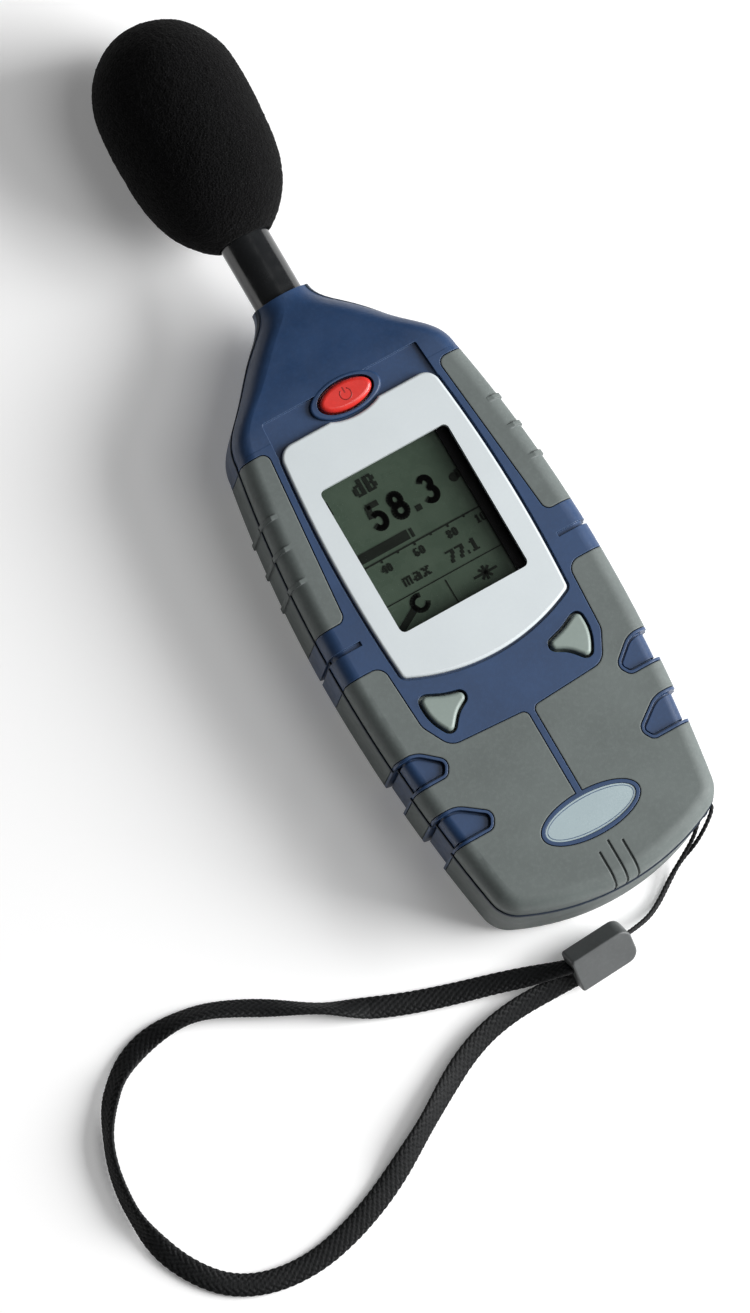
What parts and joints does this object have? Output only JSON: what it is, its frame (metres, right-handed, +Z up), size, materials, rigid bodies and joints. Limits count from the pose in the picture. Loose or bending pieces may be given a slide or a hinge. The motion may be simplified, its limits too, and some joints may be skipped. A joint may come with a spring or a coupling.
{
  "type": "sound level meter",
  "caption": "Hand-held sound level meter with a half-inch microphone under a foam windscreen, a display, keys and a wrist strap, lying on its back.",
  "frame": {"origin": "centre of the footprint without the wrist strap, on the surface the meter lies on", "axes": "+Y along the case towards the windscreen, +Z up out of the display, +X to the right of a person reading it"},
  "size_m": [0.1782, 0.2845, 0.0384],
  "materials": {
    "case_blue": "satin moulded plastic, fine grain",
    "case_rubber": "matt moulded rubber",
    "bezel_silver": "silver paint, satin",
    "window_clear": "clear, polished",
    "lcd": "grey-green liquid crystal",
    "inner_black": "matt",
    "inner_white": "matt",
    "circuit_board": "solder mask",
    "steel": "plain",
    "brass": "plain",
    "keys_grey": "satin",
    "button_red": "satin",
    "keypad_rubber": "matt",
    "badge_pale": "satin",
    "label": "printed film, blank",
    "neck_black": "gloss",
    "capsule_metal": "satin",
    "foam_black": "open-cell foam",
    "battery_wrap": "plain wrap",
    "pad_foam": "foam",
    "ferrule_grey": "moulded",
    "strap_black": "woven"
  },
  "bodies": {
    "root": {"seam_bead": "case_blue", "front_grip_right": "case_rubber", "front_grip_left": "case_rubber", "rear_grip_right": "case_rubber", "rear_grip_left": "case_rubber", "front_rubber": "case_rubber", "front_shell": "case_blue", "rear_rubber": "case_rubber", "rear_shell": "case_blue", "strap_lug": "case_blue", "display_bezel": "bezel_silver", "display_window": "window_clear", "lcd_frame": "inner_black", "lcd_glass": "lcd", "backlight_panel": "inner_white", "main_board": "circuit_board", "board_screws": "steel", "case_screws": "steel", "processor_shield": "steel", "power_switch": "inner_black", "socket_board": "circuit_board", "board_header": "inner_black", "keypad_mat": "keypad_rubber", "badge_plate": "badge_pale", "rating_label": "label", "microphone_neck": "neck_black", "neck_seal": "keypad_rubber", "preamplifier_board": "circuit_board", "microphone_capsule": "capsule_metal", "microphone_diaphragm": "capsule_metal", "microphone_grid": "capsule_metal", "battery": "battery_wrap", "battery_snap": "inner_black", "tripod_insert": "brass", "output_socket": "inner_black", "trimmer_body": "inner_black", "strap_ferrule": "ferrule_grey", "strap_loop": "strap_black", "strap_cord": "strap_black"},
    "right_key": {"right_key": "keys_grey"},
    "left_key": {"left_key": "keys_grey"},
    "power_button": {"power_button": "button_red"},
    "windscreen": {"windscreen": "foam_black"},
    "battery_door": {"battery_door": "case_blue", "battery_pad": "pad_foam"},
    "trimmer_screw": {"trimmer_screw": "brass"}
  },
  "joints": [
    {"name": "right_key_press", "type": "slide", "parent": "root", "child": "right_key", "axis": [0, 0, -1], "range_m": [0, 0.0006], "stiffness_N_per_m": 800},
    {"name": "left_key_press", "type": "slide", "parent": "root", "child": "left_key", "axis": [0, 0, -1], "range_m": [0, 0.0006], "stiffness_N_per_m": 800},
    {"name": "power_button_press", "type": "slide", "parent": "root", "child": "power_button", "axis": [0, 0, -1], "range_m": [0, 0.0006], "stiffness_N_per_m": 800},
    {"name": "windscreen_pull", "type": "slide", "parent": "root", "child": "windscreen", "axis": [0, 1, 0], "range_m": [0, 0.07]},
    {"name": "battery_door_hinge", "type": "hinge", "parent": "root", "child": "battery_door", "pos_m": [0, -0.0456, 0.00135], "axis": [1, 0, 0], "range_deg": [0, 85]},
    {"name": "trimmer_turn", "type": "hinge", "parent": "root", "child": "trimmer_screw", "pos_m": [0.029, -0.023, 0.0125], "axis": [1, 0, 0], "range_deg": [-135, 135]}
  ]
}
